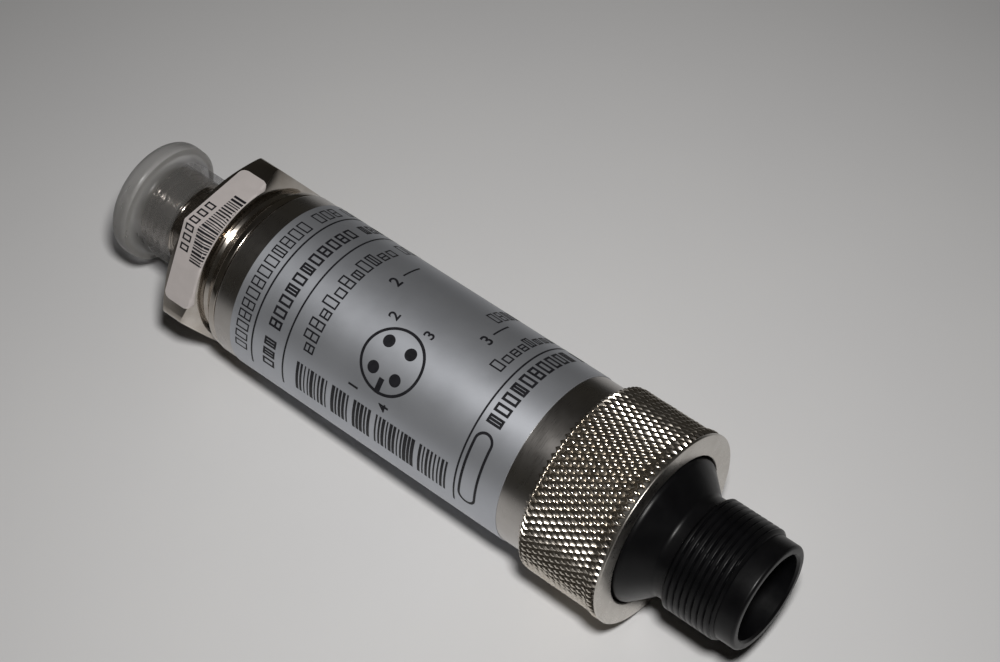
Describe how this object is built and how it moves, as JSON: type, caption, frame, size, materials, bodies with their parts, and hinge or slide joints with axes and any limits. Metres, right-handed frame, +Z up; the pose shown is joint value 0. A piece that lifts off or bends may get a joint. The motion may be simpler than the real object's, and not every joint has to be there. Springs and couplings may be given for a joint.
{
  "type": "pressure transmitter",
  "caption": "Screw-in pressure transmitter: capped threaded port, hexagon, steel tube with a type label, knurled ring nut and a black threaded plug connector, lying on its side.",
  "frame": {"origin": "on the axis, at the sealing plane of the port's collar", "axes": "+X along the axis from the pressure port to the plug connector; +Z up as it lies on a table, on a flat of its hexagon"},
  "size_m": [0.1166, 0.0312, 0.0306],
  "materials": {
    "machined_steel": "turned and milled stainless steel, bright",
    "polished_steel": "ground and polished stainless tube",
    "cell_steel": "fine turned",
    "nickel_plate": "nickel plated brass, diamond knurled",
    "cap_plastic": "translucent natural polyethylene",
    "white_paper": "matt white paper",
    "silver_foil": "matt silver foil",
    "black_plastic": "black moulded polyamide, satin",
    "black_rubber": "nitrile rubber",
    "insert_plastic": "black moulded insert",
    "gold_contact": "gold plated",
    "circuit_board": "green solder mask",
    "amber_film": "polyimide film",
    "clear_liner": "thin insulating film",
    "holder_plastic": "moulded",
    "chip_resin": "moulded resin",
    "capacitor_can": "drawn can",
    "lead_red": "insulated lead",
    "lead_blue": "insulated lead"
  },
  "bodies": {
    "housing": {"port_fitting": "machined_steel", "housing_tube": "polished_steel", "sensor_cell": "cell_steel", "hex_sticker": "white_paper", "type_label": "silver_foil", "connector_body": "black_plastic", "port_seal_ring": "black_rubber", "connector_seal_ring": "black_rubber", "contact_insert": "insert_plastic", "contact_pin_1": "gold_contact", "contact_pin_2": "gold_contact", "contact_pin_3": "gold_contact", "contact_pin_4": "gold_contact", "sensor_board": "circuit_board", "main_board": "circuit_board", "sensor_ribbon": "amber_film", "insulating_sleeve": "clear_liner", "board_holder_front": "holder_plastic", "board_holder_rear": "holder_plastic", "amplifier_chip": "chip_resin", "converter_chip": "chip_resin", "surge_arrester": "chip_resin", "capacitor_1": "capacitor_can", "capacitor_2": "capacitor_can", "lead_wire_2": "lead_red", "lead_wire_3": "lead_blue"},
    "cap": {"protective_cap": "cap_plastic"},
    "ring": {"knurled_ring": "nickel_plate"}
  },
  "joints": [
    {"name": "cap_pull", "type": "slide", "parent": "housing", "child": "cap", "axis": [-1, 0, 0], "range_m": [0, 0.02]},
    {"name": "ring_turn", "type": "hinge", "parent": "housing", "child": "ring", "pos_m": [0.0775, 0, 0], "axis": [1, 0, 0], "range_deg": [0, 1800]}
  ]
}
